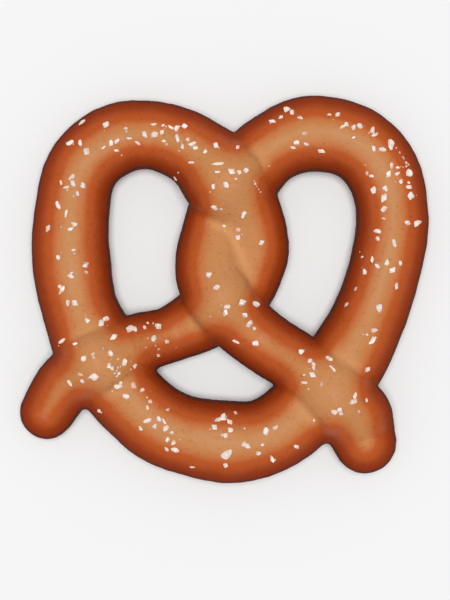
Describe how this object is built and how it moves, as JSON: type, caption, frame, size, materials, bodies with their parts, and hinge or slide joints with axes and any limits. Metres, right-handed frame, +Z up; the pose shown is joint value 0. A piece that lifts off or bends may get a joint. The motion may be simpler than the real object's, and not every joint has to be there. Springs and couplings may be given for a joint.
{
  "type": "soft pretzel",
  "caption": "Soft pretzel: one rope of dough in the traditional twisted loop, its ends laid over the bow, with a brown crust and coarse salt.",
  "frame": {"origin": "on the surface that the pretzel lies on, under the centre of its outline", "axes": "+X to the right, +Y towards the two round shoulders and away from the bow, +Z up through the thickness"},
  "size_m": [0.1502, 0.1422, 0.0277],
  "materials": {
    "crust": "satin brown crust, dark at the sides and golden tan along the top of the rope",
    "salt": "coarse white pretzel salt, slightly translucent"
  },
  "bodies": {
    "root": {"pretzel": "crust"}
  },
  "joints": []
}
